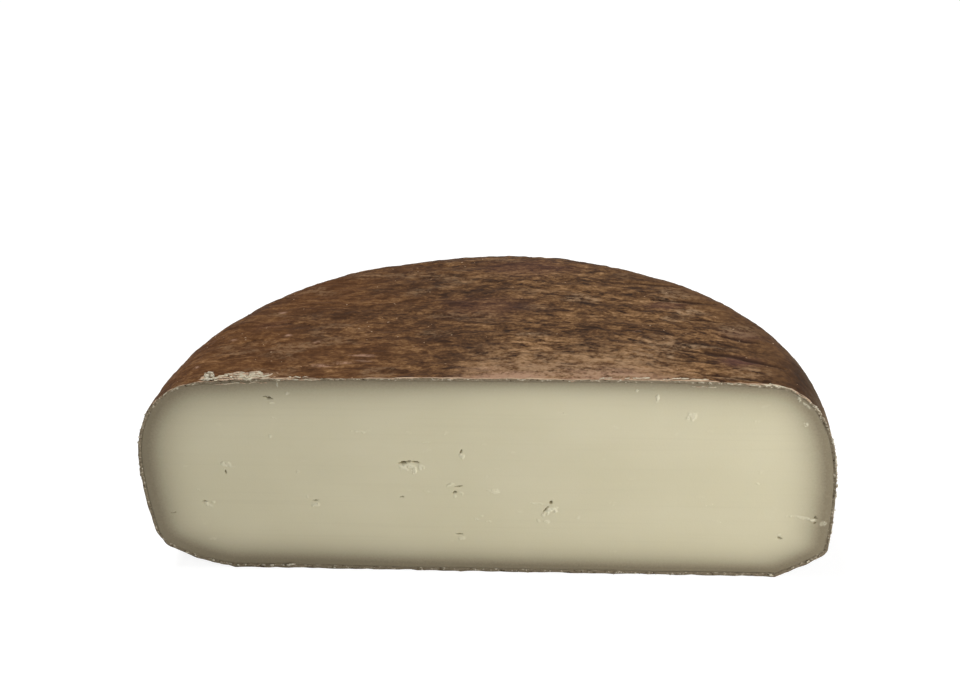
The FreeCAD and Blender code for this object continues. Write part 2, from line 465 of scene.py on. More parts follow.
# The rind: how bark-like it is, its browns from the darkest to the palest worn patch, and the painted shade
# in its creases.
rind = {
    "thickness": 1.3,
    "creaseDepth": 0.75,
    "grainDepth": 0.16,
    "swell": 0.2,               # slow rise and fall of the skin
    "sunk": 0.25,               # how far the skin lies in from the wheel's own outline
    "edgeWave": 0.3,            # how far the skin's edge wanders forwards and back at the cut
    # rings of the cut through the rind: how far in, in thicknesses, and how far back
    "cutRings": ((0.25, -0.1), (0.5, 0.0), (0.8, 0.05), (1.3, 0.8)),
    "cutRough": (-0.12, 0.16),
    "wall": (1.3, 2.0),         # how far in and back the hidden wall behind the rings lies
    "browns": (
        (0.0, (40, 25, 15)), (0.28, (72, 49, 31)), (0.5, (101, 72, 46)),
        (0.72, (136, 102, 68)), (1.0, (180, 142, 104)),
    ),
    "brownLevel": 0.47,
    "reddish": (112, 68, 28),
    "creaseShade": (42, 25, 16),
    # painted shade that darkens the creases
    "dusky": (84, 55, 50),
    "worn": (176, 140, 116),
    "fleck": (160, 131, 101),
    "heel": (104, 84, 58),
    "bloom": (128, 112, 92),
    "cutTones": (
        (0.3, (66, 54, 40)), (0.42, (132, 120, 99)), (0.58, (132, 120, 99)), (0.68, (198, 188, 166)),
    ),
    "tornEdge": (198, 170, 142),
    "surface": (0.85, 0.12, 0.5, 0.5),      # roughness, gloss, strength and depth of the low relief
    # long creases: from x, y to x, y, then half the width and how deep; y runs back from the cut
    "creases": (
        (63, 18.5, 85, 11.2, 1.3, 1.0), (54, 19.6, 64, 17.4, 0.9, 0.8), (48, 51, 67, 50.5, 1.0, 0.9),
        (70, 3.8, 80, 1.6, 0.9, 1.0), (58.5, 5.6, 71, 3.6, 0.8, 0.8), (68, 29, 79, 26, 1.0, 0.9),
        (40, 64, 57, 61.5, 1.1, 0.8), (59, 39, 71, 38.4, 0.8, 0.8), (55, 12, 66, 13.2, 0.7, 0.7),
        (-68, 34, -55, 34.6, 0.5, 0.8), (-72, 22.8, -66, 26, 0.6, 0.6), (-56, 34.6, -49, 32, 0.5, 0.6),
        (-20, 40, 2, 38, 0.6, 0.7), (8, 24, 27, 22, 0.5, 0.6), (-30, 66, -8, 69, 0.7, 0.6),
    ),
    # paler and duskier patches: x, y, half length, half width, strength
    "wornPatches": (
        (-45, 7.7, 2.8, 0.7, 1.0), (-38.6, 9, 2.4, 0.6, 0.8), (-34, 13.3, 3.4, 0.55, 0.8),
        (-33, 10.4, 2.6, 0.45, 0.5), (-63, 42.6, 0.9, 0.6, 0.9), (-74.4, 25.4, 1.0, 0.6, 0.9),
        (-58, 26, 0.8, 0.7, 1.0), (-48.6, 21.8, 0.8, 0.6, 0.9), (-81.5, 9, 0.8, 0.6, 0.8),
        (44, 29.5, 1.0, 0.6, 0.6),
    ),
    "fleckPatches": (
        (55, 55, 6, 3.5, 0.6), (59.5, 43, 5, 2.4, 1.0), (75.5, 6.5, 5, 3.4, 0.6), (73, 33, 6, 5, 0.5),
        (50, 20, 7, 6, 0.6), (38, 12, 9, 7, 0.5), (-71, 17.2, 7, 1.6, 0.4), (20, 10, 10, 6, 0.5),
        (53.6, 14.8, 1, 4, 1.0),
    ),
    "duskyPatches": (
        (73, 13, 6, 3.4, 1.0), (74, 30, 6, 3, 0.6), (-64, 34, 5, 2.5, 0.4), (52, 47, 6, 3, 0.6),
        (0, 45, 14, 7, 0.4), (10, 75, 16, 7, 0.5),
    ),
    # pale torn rind beside the cut
    "tornPatches": (
        (-77.4, 1.6, 1.8, 1.7, 1.0), (-66.5, 1.0, 9.5, 1.3, 0.9), (-51, 0.6, 7, 0.7, 0.6),
        (47, 0.5, 12, 0.7, 0.6), (62, 0.5, 3, 0.8, 0.8), (84, 0.4, 7, 0.6, 0.9),
    ),
    # where each look comes in, from and to: x or y, or for the rim and its shade a share of the radius
    "reach": {
        "right": (-10, 50), "rimRight": (20, 60), "rim": (0.72, 0.87), "rimShade": (0.78, 0.95),
        "frontStart": (-10, 8), "frontEnd": (38, 66), "left": (-30, 15), "reddish": (-60, 10),
        "back": (12, 38), "nearEnd": (60, 72), "behindEnd": (12, 26),
        "end": (82, 96), "behindShade": (12, 40),
    },
    "bands": {"worn": 6, "flecked": 15, "speckled": 12},        # how far back from the cut they fade
    # noises of the skin: the size of their cells along x, y and z, their seed and their layers
    "noises": {
        "bendAlong": ((26, 11, 11), 1, 2), "bendBack": ((24, 10, 10), 2, 2), "bendUp": ((24, 10, 10), 3, 2),
        "long": ((34, 8, 8), 4, 1), "short": ((14, 3.6, 3.6), 5, 1), "ripple": ((5, 1.8, 1.8), 6, 1),
        "wander": ((5, 5, 5), 7, 2), "patchy": ((22, 10, 10), 8, 1), "pebble": ((2.4, 2.4, 2.4), 9, 2),
        "swell": ((15, 15, 15), 10, 2), "worn": ((12, 3, 3), 12, 2), "flecked": ((14, 6, 6), 14, 2),
        "reddish": ((24, 12, 12), 15, 2), "specks": ((20, 20, 20), 16, 2), "crumbly": ((9, 1, 9), 20, 2),
        "edge": ((2.5, 1, 2.5), -8, 2),
    },
    "bends": {"bendAlong": 3.0, "bendBack": 0.9, "bendUp": 0.7},        # how far they bend the bark's grain
    "fall": (0.05, 0.0012),         # slope and curve of the grain towards the rim at the right
    # patterns of the finish that follow the grain, and others: size, detail, stretch, shift, roughness
    "grainPatterns": {
        "line": (2.1, 3, (8, 1, 1), 3, 0.55), "blot": (2.0, 3, (2.2, 1, 1), 9, 0.6),
        "dash": (1.3, 2, (3.4, 1, 1), 13), "patch": (7, 3, (2.2, 1, 1), 21),
    },
    "patterns": {
        "fine": (0.8, 3, (1.3, 1, 1), 17, 0.6), "cloud": (15, 3, (1.5, 1, 1), 5),
        "pebble": (1.9, 3, (1, 1, 1), 27, 0.6), "crumble": (0.8, 3, (1.6, 1, 1), 31),
        "ragged": (1.4, 3, (4, 1, 1), 41),
    },
    "seed": 11,
    "fine": {"top": 116, "shoulder": 62, "side": 25, "knuckle": 8, "foot": 24, "base": 40, "baseGap": 1.2},
    "coarse": {"top": 16, "shoulder": 8, "side": 4, "knuckle": 3, "foot": 3, "base": 8, "baseGap": 6.0},
}


def comesIn(name, x):
    return soft(x, *rind["reach"][name])


def barkFlow(points, right):
    # places bent the way the bark's grain runs: wandering along the cut, and down to the rim at the right
    bends = [grain(rind, name, points) * far for name, far in rind["bends"].items()]
    flow = points + np.stack(bends, axis=-1)
    slope, curve = rind["fall"]
    flow[:, 1] += right * (slope * points[:, 0] + curve * points[:, 0] ** 2)
    return flow


def longCrease(x, y, crease):
    startX, startY, endX, endY, width, strength = crease
    runX, runY = endX - startX, endY - startY
    share = np.clip(((x - startX) * runX + (y - startY) * runY) / (runX ** 2 + runY ** 2), 0, 1)
    away = np.hypot(x - startX - runX * share, y - startY - runY * share)
    return strength * hump(away, width * (0.35 + 0.65 * np.sin(np.pi * share)))


def patchesAt(x, y, patches):
    # the strongest of the patches at each point
    most = np.zeros(len(x))
    for spotX, spotY, length, width, strength in patches:
        away = ((x - spotX) / length) ** 2 + ((y - spotY) / width) ** 2
        most = np.maximum(most, strength * np.exp(-away ** 1.5))
    return most


def barkLook(points, normals):
    # the rind's height and what its finish reads: where it is creased, barky, worn, flecked or reddish
    x, y = points[:, 0], points[:, 1] - cutY
    out = np.hypot(x, y) / wheel["radius"]
    top, under = soft(normals[:, 2], 0.25, 0.85), soft(-normals[:, 2], 0.5, 0.9)
    right, rim = comesIn("right", x), comesIn("rim", out) * comesIn("rimRight", x)
    front = comesIn("frontStart", x) * (1 - comesIn("frontEnd", x))
    flow = barkFlow(points, right)
    wander = 0.7 * grain(rind, "wander", points)

    # creases: thin lines where a noise passes nought, and the long listed ones
    long, short = grain(rind, "long", flow), grain(rind, "short", flow)
    patchy = soft(grain(rind, "patchy", points), -0.3, 0.3)
    crease = hump(long, 0.05) * patchy * 0.4 + hump(short, 0.1) * (1 - patchy) * 0.3
    crease *= (0.35 + 0.65 * right) * (1 - 0.9 * rim)
    for line in rind["creases"]:
        crease = np.maximum(crease, longCrease(x, y + wander, line))
    crease = np.clip(crease, 0, 1) * (0.15 + 0.85 * top)
    rough = (short * (0.3 + top) + 0.8 * grain(rind, "ripple", flow)) * (1 - 0.8 * rim)
    rough = rough + grain(rind, "pebble", points) * (0.5 + 0.5 * top)
    height = rind["swell"] * grain(rind, "swell", points) - rind["sunk"] + rind["grainDepth"] * rough
    height = (height - rind["creaseDepth"] * crease) * (1 - 0.6 * under)

    # patches, and how light or dark the browns are
    bands = rind["bands"]
    worn = hump(y, bands["worn"]) * front * (0.5 + 0.5 * grain(rind, "worn", flow))
    worn = np.maximum(worn, patchesAt(x, y + 0.5 * wander, rind["wornPatches"]))
    flecked = hump(y, bands["flecked"]) * front
    flecked = np.maximum(flecked, soft(grain(rind, "flecked", points), 0.35, 0.8) * (0.3 + 0.4 * right))
    flecked = np.maximum(flecked * (1 - rim), patchesAt(x, y + 2 * wander, rind["fleckPatches"]))
    specks = soft(grain(rind, "specks", points), 0.0, 0.6)
    speckled = front * hump(y, bands["speckled"])
    red = 0.4 + 0.4 * soft(grain(rind, "reddish", points), -0.6, 0.5)
    # darker browns further back and near the right end; the darkening towards the rim, and the strong one
    # at the right end's front, is painted shade
    deep = (0.07 + 0.08 * comesIn("back", y)) * (1 - comesIn("left", x)) + 0.13 * comesIn("rimShade", out)
    deep += 0.06 * comesIn("nearEnd", x) * (1 - comesIn("behindEnd", y)) - 0.15 * speckled
    endShade = 0.3 * comesIn("end", x) * (1 - comesIn("behindShade", y))
    return height, flow, {
        "crease": crease,
        "barky": right * top * (1 - 0.9 * rim) * (1 - 0.7 * speckled),
        "lively": (0.6 + 0.4 * top) * (1 - 0.88 * rim) * (1 - 0.3 * speckled),
        "plain": np.maximum(np.maximum(rim, 0.9 * speckled) * top, 1 - top),
        "deep": deep * top + endShade,
        "worn": np.clip(worn, 0, 1) * top,
        "flecked": flecked * top,
        "dusky": patchesAt(x, y + 2 * wander, rind["duskyPatches"]) * top,
        "reddish": (1 - comesIn("reddish", x)) * top * red,
        "side": 1 - top,
        "speckled": (0.25 + 0.75 * specks) * (0.35 + 0.65 * top) * (1 - under),
    }


def rindMaterial():
    m = MaterialMaker("walnutRind")
    crease, barky, lively, plain = m.attributes("crease", "barky", "lively", "plain")
    deep, worn, flecked, dusky = m.attributes("deep", "worn", "flecked", "dusky")
    reddish, side, cut, torn = m.attributes("reddish", "side", "cut", "torn")
    line, blot, dash, patch = m.mottles(rind["grainPatterns"], m.attribute("flow", "Vector"))
    fine, cloud, pebble, crumble, ragged = m.mottles(rind["patterns"])
    mottled = (blot - 0.5) * 1.4 + (fine - 0.5) * 0.9 + (patch - 0.5) * 0.8 - dash.step(0.56, 0.64) * 0.3
    # deep darkens the browns further back, and as painted shade towards the rim and at the right end
    tone = rind["brownLevel"] + (line - 0.5) * 0.9 * barky + mottled * lively + (cloud - 0.5) * 0.4 - deep
    colour = m.ramp(tone + (pebble - 0.5) * 0.7 * plain, *rind["browns"])
    bloomed = (cloud * 0.5 + patch * 0.25 + fine * 0.25).step(0.49, 0.59)
    ragged = (torn * 1.2 + (ragged - 0.5) * 2.4).step(0.6, 1.0) * torn.step(0, 0.2)
    for mask, over in (
        (reddish * 0.4, rind["reddish"]),
        (side * (0.35 + patch * 0.5), rind["heel"]),
        (side * bloomed * 0.45, rind["bloom"]),
        (dusky * (0.35 + blot * 0.7), rind["dusky"]),
        (flecked * (blot * 0.4 + pebble * 0.4 + fine * 0.2).step(0.42, 0.6), rind["fleck"]),
        (worn * (line * 0.5 + fine * 0.5).step(0.34, 0.54), rind["worn"]),
        # painted shade in the creases
        (crease.step(0.15, 0.85) * 0.85, rind["creaseShade"]),
        (cut, m.ramp(crumble, *rind["cutTones"])),
        (ragged, rind["tornEdge"]),
    ):
        colour = m.mix(mask, colour, over)
    height = (line * barky + blot * lively) * 0.8 + fine * 0.5 - crease * 0.5 + crumble * cut * 0.8
    return m.surface(colour, height, rind["surface"])


def insetLoop(outline, distance):
    # moves a closed loop of (x, z) points inwards; the loop runs clockwise as seen from the front
    ahead, behind = np.roll(outline, -1, axis=0), np.roll(outline, 1, axis=0)
    along = ahead - behind
    along /= np.linalg.norm(along, axis=1)[:, None]
    return outline + distance * np.stack([along[:, 1], -along[:, 0]], axis=-1)


def hiddenWall(faces, rim, count, inset, back):
    # the coarse wall that closes a piece behind its rim, set in by thicknesses of rind and open at the cut;
    # count is how many points the piece has so far
    points, wallFaces, loop = skinSheet(rind["coarse"])
    points = points - rind["thickness"] * inset * sheetNormals(points, wallFaces)
    points[loop, 1] = cutY + back
    faces += [[k + count for k in face] for face in wallFaces]
    faces += joinRows([*rim, rim[0]], [*(loop + count), loop[0] + count])
    return points


def makeRind():
    points, faces, loop = skinSheet(rind["fine"])
    outline = points[loop][:, [0, 2]]
    normals = sheetNormals(points, faces)
    height, flow, looks = barkLook(points, normals)
    random = np.random.default_rng(rind["seed"])
    moved = points + normals * height[:, None]
    moved[:, 2] = np.clip(moved[:, 2], 0, wheel["height"])
    moved[loop, 1] = cutY + rind["edgeWave"] * grain(rind, "edge", points[loop])
    looks["torn"] = patchesAt(points[:, 0], points[:, 1] - cutY, rind["tornPatches"])
    looks["torn"][loop] = np.maximum(looks["torn"][loop], 1 - 0.75 * looks["side"][loop])

    # the cut through the rind: a crumbly band that dips behind the paste at its inner edge
    rings, band, count = [moved], [loop], len(moved)
    for share, sink in rind["cutRings"]:
        x, z = insetLoop(outline, rind["thickness"] * share).T
        rough = random.uniform(*rind["cutRough"], len(x)) * (share < 1)
        rings.append(np.stack([x, cutY + sink + rough, z], axis=-1))
        band.append(np.arange(count, count + len(x)))
        count += len(x)
    for outer, inner in zip(band, band[1:]):
        faces += np.stack([np.roll(outer, -1), outer, inner, np.roll(inner, -1)], axis=-1).tolist()

    rings.append(hiddenWall(faces, band[-1], count, *rind["wall"]))
    allPoints = np.concatenate(rings)
    rest = len(allPoints) - len(points)
    looks = {name: np.pad(values, (0, rest)) for name, values in looks.items()}
    looks["cut"] = np.pad(np.zeros(len(points)), (0, rest), constant_values=1)
    looks["crumbly"] = np.zeros(len(allPoints))
    for ring in band[1:3]:
        looks["crumbly"][ring] = soft(grain(rind, "crumbly", allPoints[ring]), -0.1, 0.5)
    looks["flow"] = np.concatenate([flow, allPoints[len(points):]]) * mm
    piece = makeMesh("rind", allPoints, faces, looks, rindMaterial())
    return dress(piece, "half_wheel"), outline, loop


def dress(piece, node=None):
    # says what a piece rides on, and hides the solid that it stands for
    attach(piece, "root")
    if node:
        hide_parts(node)
    return piece


# The paste and what the knife opened in it. Places are shares of half the cut and of the height.
paste = {
    "inset": 1.1,           # how far in from the wheel's outline it starts
    "back": 0.12,           # how far it lies behind the cut rind
    "across": 400,          # cells of its grid
    "up": 130,
    "corners": ((-0.93, 0.88), (0.945, 0.9), (0.98, 0.13), (-0.95, 0.12)),      # of the grid
    "fineMargin": 0.8,      # how far round a mark the grid is finer
    "wall": (1.6, 2.5),     # how far in and back the hidden wall behind it lies
    "dragDepth": 0.015,     # fine lines that the knife drew
    "swell": 0.12,
    "tornRise": (0.1, 0.14),
    # noises of the cut: the size of their cells along x, y and z, their seed and their layers
    "noises": {"fray": ((0.7, 1, 0.6), 0, 3), "drag": ((70, 1, 0.9), 1, 2), "swell": ((25, 1, 12), 2, 1)},
    "patterns": {
        "cloud": (26, 3, (1.6, 1, 1), 2), "drag": (0.8, 3, (70, 1, 1), 6), "grit": (0.6, 2, (1, 1, 1), 8),
    },
    "seed": 5,
    "colours": ((209, 201, 170), (213, 205, 175)),
    "drag": (178, 168, 136),
    # the colour of the painted shade inside the eyes
    "deep": (112, 100, 66),
    "torn": (230, 224, 198),
    "underRind": (132, 121, 98),
    "surface": (0.55, 0.3, 0.3, 0.3),       # roughness, gloss, strength and depth of the low relief
    "glow": {
        "Subsurface Weight": 0.1, "Subsurface Radius": (1.0, 0.75, 0.45), "Subsurface Scale": 1.5 * mm,
    },
    # how deep the dark zone stays full, then how fast it fades, at the sides, the top and the bottom
    "zone": {"side": (3.1, 5.8), "top": (0.8, 4.1), "bottom": (2.2, 3.4)},
    "leftZone": (0.3, -20, 90),     # how much wider, and from where to where to the left
    "midZone": (0.3, 16, 30),       # how much narrower, where, and half how far
    # small holes and slits: along, up, length, gape, tilt, depth
    "eyes": (
        (-0.592, 0.895, 3.6, 0.8, -14, 1.6), (-0.745, 0.513, 1.8, 0.6, 86, 0.8),
        (-0.818, 0.357, 2.4, 0.5, 0, 1.1), (-0.918, 0.293, 1.6, 0.4, 2, 0.4),
        (-0.488, 0.372, 1.9, 0.4, 0, 0.7), (-0.226, 0.571, 3.4, 0.8, 3, 1.5),
        (-0.208, 0.578, 4.4, 0.4, 0, 0.8), (-0.188, 0.574, 2.8, 0.6, -8, 1.2),
        (-0.053, 0.634, 1.4, 0.8, 70, 0.6), (-0.077, 0.423, 1.4, 1.0, 20, 0.9),
        (-0.065, 0.455, 3.0, 0.4, 8, 0.5), (-0.233, 0.393, 1.6, 0.5, 0, 0.4),
        (-0.074, 0.2, 3.0, 0.5, -2, 1.2), (0.197, 0.374, 1.7, 1.0, 50, 1.4),
        (0.182, 0.34, 3.4, 0.4, 50, 0.8), (0.845, 0.207, 1.9, 0.8, -14, 1.3),
        (0.944, 0.318, 1.6, 0.4, -40, 0.7), (0.942, 0.288, 1.3, 0.4, 20, 0.6),
    ),
    # pale torn spots: along, up, length, width, tilt, strength
    "scuffs": (
        (-0.741, 0.555, 3.0, 1.6, 0, 0.8), (-0.725, 0.54, 2.2, 0.5, -6, 0.4),
        (-0.814, 0.351, 1.3, 0.9, 0, 1.0), (-0.792, 0.354, 1.1, 0.8, 30, 0.7),
        (-0.808, 0.338, 2.2, 0.8, -20, 0.6), (-0.833, 0.417, 1.0, 0.7, 0, 0.6),
        (-0.203, 0.556, 3.0, 1.4, -10, 0.9), (-0.19, 0.535, 2.6, 1.6, 50, 1.0),
        (-0.222, 0.545, 3.0, 1.2, -30, 0.7), (-0.172, 0.548, 2.2, 1.8, 40, 0.6),
        (-0.052, 0.61, 1.5, 1.5, 0, 0.7), (-0.089, 0.461, 2.0, 1.0, 20, 0.7),
        (-0.08, 0.403, 1.3, 0.8, 0, 0.8), (-0.058, 0.416, 1.8, 1.0, -40, 0.7),
        (0.036, 0.432, 3.4, 1.4, 2, 0.7), (0.203, 0.336, 3.2, 1.5, -30, 1.0),
        (0.211, 0.347, 1.4, 0.9, 0, 0.7), (0.182, 0.32, 2.4, 1.4, 40, 0.9),
        (0.184, 0.275, 1.6, 1.0, 0, 0.8), (0.16, 0.276, 0.9, 1.4, 10, 0.6),
        (0.158, 0.371, 3.4, 0.6, -6, 0.5), (-0.004, 0.298, 1.0, 0.7, 0, 0.6),
        (-0.02, 0.284, 2.6, 0.6, -8, 0.4), (0.016, 0.27, 1.8, 0.7, 0, 0.5),
        (-0.066, 0.18, 2.2, 1.1, 0, 0.6), (-0.488, 0.348, 2.2, 1.4, 0, 0.8),
        (-0.51, 0.39, 1.2, 0.5, -60, 0.4), (-0.535, 0.918, 1.2, 1.0, 40, 0.6),
        (-0.582, 0.87, 1.4, 0.7, 0, 0.6), (-0.562, 0.965, 0.6, 2.2, 0, 0.6), (0.5, 0.909, 0.9, 2.2, 0, 0.9),
        (0.443, 0.94, 0.5, 1.6, 0, 0.5), (0.595, 0.822, 3.2, 2.6, 20, 0.6),
        (0.845, 0.223, 1.4, 0.8, 20, 0.6), (0.904, 0.785, 1.3, 1.3, 0, 0.7),
        (0.778, 0.488, 1.4, 0.5, 0, 0.7), (0.905, 0.317, 6.6, 0.9, -9, 0.5),
        (0.939, 0.304, 1.5, 0.9, -10, 1.0), (0.967, 0.288, 1.9, 1.6, 0, 0.45),
        (0.883, 0.905, 0.9, 2.4, 10, 0.6), (0.9, 0.88, 3.4, 0.7, -38, 0.6),
        (-0.34, 0.73, 4.0, 0.7, -8, 0.6), (-0.6, 0.7, 1.2, 1.1, 0, 0.6), (-0.15, 0.68, 2.0, 0.5, 0, 0.4),
        (-0.583, 0.795, 1.8, 0.6, -20, 0.5), (-0.53, 0.52, 1.0, 0.9, 0, 0.4),
        (-0.16, 0.425, 2.0, 0.9, 0, 0.4),
    ),
    "faintScuffs": {
        "count": 36, "along": (-0.9, 0.9), "up": (0.12, 0.88), "length": (0.8, 3.0), "width": 0.6,
        "tilt": 12, "strength": (0.15, 0.4),
    },
}


def local(x, z, spot):
    # a point's place along and across a mark, in millimetres
    along, up, tilt = spot
    dx, dz = x - along * wheel["radius"], z - up * wheel["height"]
    c, s = math.cos(math.radians(tilt)), math.sin(math.radians(tilt))
    return dx * c + dz * s, dz * c - dx * s


def openEye(x, z, eye):
    # sink and painted shade: the hole is steep at its upper edge and slopes up to its lower one
    along, up, length, gape, tilt, depth = eye
    u, w = local(x, z, (along, up, tilt))
    body = np.clip(1 - (2 * u / length) ** 2, 0, 1)
    half = np.maximum(gape / 2 * body, 1e-3)
    down = (half - w) / (2 * half)      # 0 at the upper edge and 1 at the lower
    inside = (down > 0) & (down < 1) & (body > 0)
    share = np.sqrt(body) * soft(down, 0, 0.14) * np.clip(1 - down, 0, 1) ** 0.8 * inside
    return depth * share, soft(share, 0.08, 0.45)


def scuffMark(x, z, scuff, fray):
    along, up, length, width, tilt, strength = scuff
    u, w = local(x, z, (along, up, tilt))
    body = np.exp(-(2 * u / length) ** 2 - (2 * w / width) ** 2)
    return strength * soft(body * (1 + 0.7 * fray), 0.14, 0.62)


def underRindShade(x, z, outline):
    # how much each point of the cut takes the dark tone under the rind; near parts of the rind count most
    total, toSide, toTop, toBottom = np.zeros((4, len(x)))
    steps = np.linalg.norm(np.roll(outline, -1, axis=0) - outline, axis=1)
    for (spotX, spotZ), step in zip(outline, steps):
        runX, runZ = spotX - x, spotZ - z
        square = runX ** 2 + runZ ** 2 + 1e-3
        weight = step / square ** 3
        total += weight
        toSide += weight * runX ** 2 / square
        toTop += weight * (runZ > 0) * runZ ** 2 / square
        toBottom += weight * (runZ < 0) * runZ ** 2 / square
    shares = {"side": toSide / total, "top": toTop / total, "bottom": toBottom / total}
    distance = (total * 8 / (3 * math.pi)) ** -0.2
    full, fade = (sum(paste["zone"][name][k] * share for name, share in shares.items()) for k in (0, 1))
    wider, start, end = paste["leftZone"]
    narrower, middle, half = paste["midZone"]
    wide = 1 + wider * soft(-x, start, end) * (1 - shares["side"])
    wide -= narrower * hump(x - middle, half) * shares["top"]
    return np.exp(-(np.clip(distance - full * wide, 0, None) / fade / wide) ** 1.3)


def pasteMaterial():
    m = MaterialMaker("pasteCut")
    shade, dark, torn = m.attributes("shade", "dark", "torn")
    cloud, drag, grit = m.mottles(paste["patterns"])
    colour = m.mix(cloud.step(0.3, 0.7), *paste["colours"])
    for mask, over in (
        (drag.step(0.5, 0.75) * 0.07, paste["drag"]),
        (shade + (grit - 0.5) * shade * 0.25, paste["underRind"]),
        # painted shade inside the eyes
        (dark * 0.7, paste["deep"]),
        (torn * (0.35 + grit * 0.6), paste["torn"]),
    ):
        colour = m.mix(mask, colour, over)
    return m.surface(colour, drag * 0.2 + grit * (0.3 + torn * 2.0), paste["surface"], paste["glow"])


def stretchOf(loop, start, end, count):
    # evenly spaced points on a closed loop, from the point nearest start to the one nearest end
    first = np.argmin(np.linalg.norm(loop - start, axis=1))
    turned = np.roll(loop, -first, axis=0)
    last = np.argmin(np.linalg.norm(turned - end, axis=1))
    piece = turned[:last + 1]
    length = np.concatenate([[0], np.cumsum(np.linalg.norm(np.diff(piece, axis=0), axis=1))])
    wanted = np.linspace(0, length[-1], count + 1)
    return np.stack([np.interp(wanted, length, piece[:, k]) for k in (0, 1)], axis=-1)


def cutGrid(outline):
    # a grid over the cut face, blended from its four sides
    loop = insetLoop(outline, paste["inset"])
    corners = np.array(paste["corners"]) * (wheel["radius"], wheel["height"])
    across, up = paste["across"], paste["up"]
    top = stretchOf(loop, corners[0], corners[1], across)
    right = stretchOf(loop, corners[1], corners[2], up)[::-1]
    bottom = stretchOf(loop, corners[2], corners[3], across)[::-1]
    left = stretchOf(loop, corners[3], corners[0], up)
    s = np.linspace(0, 1, across + 1)[None, :, None]
    t = np.linspace(0, 1, up + 1)[:, None, None]
    grid = (
        (1 - t) * bottom[None] + t * top[None] + (1 - s) * left[:, None] + s * right[:, None]
        - (1 - s) * (1 - t) * bottom[0] - s * (1 - t) * bottom[-1] - (1 - s) * t * top[0] - s * t * top[-1]
    )
    index = np.arange(grid.shape[0] * grid.shape[1]).reshape(grid.shape[:2])
    return grid.reshape(-1, 2), gridQuads(index)


def nearMarks(x, z):
    near = np.zeros(len(x), bool)
    for along, up, length, *_ in paste["eyes"] + paste["scuffs"]:
        away = np.hypot(x - along * wheel["radius"], z - up * wheel["height"])
        near |= away < length * 0.6 + paste["fineMargin"]
    return near


def boundaryLoop(face, start):
    # the grid's rim as one loop of indices, clockwise from the point nearest start
    rim = [v for v in face.verts if v.is_boundary]
    first = min(rim, key=lambda v: math.hypot(v.co.x - start[0], v.co.z - start[1]))
    edge = max((e for e in first.link_edges if e.is_boundary), key=lambda e: e.other_vert(first).co.x)
    loop, vert = [first.index], edge.other_vert(first)
    while vert is not first:
        loop.append(vert.index)
        edge = next(e for e in vert.link_edges if e.is_boundary and e is not edge)
        vert = edge.other_vert(vert)
    return loop


def cutFace(outline):
    # the flat grid, made three times finer round the marks: its points, faces and rim
    flat, quads = cutGrid(outline)
    face = bmesh.new()
    made = [face.verts.new((x, 0, z)) for x, z in flat.tolist()]
    for quad in quads.tolist():
        face.faces.new([made[k] for k in quad])
    face.verts.index_update()
    near = nearMarks(flat[:, 0], flat[:, 1])
    edges = [e for e in face.edges if near[e.verts[0].index] and near[e.verts[1].index]]
    bmesh.ops.subdivide_edges(face, edges=edges, cuts=2, use_grid_fill=True)
    face.verts.index_update()
    rim = boundaryLoop(face, outline[0])
    points, faces = np.array([v.co for v in face.verts]), [[v.index for v in f.verts] for f in face.faces]
    face.free()
    return points, faces, rim


def faintScuffs(random):
    faint = paste["faintScuffs"]
    return [
        (random.uniform(*faint["along"]), random.uniform(*faint["up"]), random.uniform(*faint["length"]),
         faint["width"], random.normal(0, faint["tilt"]), random.uniform(*faint["strength"]))
        for _ in range(faint["count"])
    ]


def makePaste(outline):
    points, faces, rim = cutFace(outline)
    x, z = points[:, 0], points[:, 2]
    fray = grain(paste, "fray", points)
    sink = paste["dragDepth"] * grain(paste, "drag", points)
    sink += paste["swell"] * grain(paste, "swell", points)
    dark, torn = np.zeros(len(x)), np.zeros(len(x))
    for scuff in [*paste["scuffs"], *faintScuffs(np.random.default_rng(paste["seed"]))]:
        torn = np.maximum(torn, scuffMark(x + 0.2 * fray, z + 0.15 * fray, scuff, fray))
    least, more = paste["tornRise"]
    sink -= torn * (least + more * np.clip(fray, 0, 1))
    for eye in paste["eyes"]:
        depth, hollow = openEye(x + 0.3 * fray, z + 0.2 * fray, eye)
        sink += depth
        dark = np.maximum(dark, hollow)
    torn *= 1 - dark
    points[:, 1] = cutY + paste["back"] + sink
    shade = underRindShade(x, z, outline)

    wall = hiddenWall(faces, rim, len(points), *paste["wall"])
    piece = makeMesh("paste", np.concatenate([points, wall]), faces, {
        "shade": np.pad(shade, (0, len(wall)), constant_values=1),
        "dark": np.pad(dark, (0, len(wall))), "torn": np.pad(torn, (0, len(wall))),
    }, pasteMaterial())
    return dress(piece, "half_wheel")


